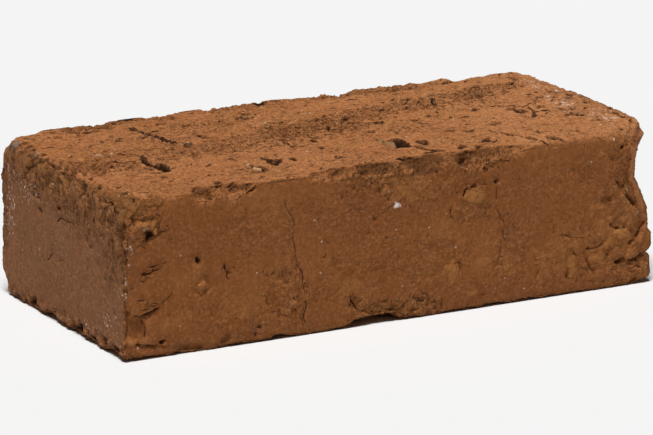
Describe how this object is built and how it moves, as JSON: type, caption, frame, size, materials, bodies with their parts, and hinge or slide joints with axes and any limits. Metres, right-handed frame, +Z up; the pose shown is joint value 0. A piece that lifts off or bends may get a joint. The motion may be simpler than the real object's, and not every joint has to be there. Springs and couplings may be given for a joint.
{
  "type": "clay brick",
  "caption": "Solid rough-formed fired clay brick with worn, chipped edges, a coarse torn bed and pinched corner; laid in mortar for walls, piers and stoves.",
  "frame": {"origin": "middle of the underside, on the plane that the brick lies on", "axes": "+X along the length from the left header to the right header, +Y across the width from the front stretcher to the back stretcher, +Z up through the height from the lower bed to the upper bed"},
  "size_m": [0.25, 0.118, 0.068],
  "materials": {
    "fired_clay": "matt, rough, unglazed"
  },
  "bodies": {
    "root": {"brick": "fired_clay"}
  },
  "joints": []
}
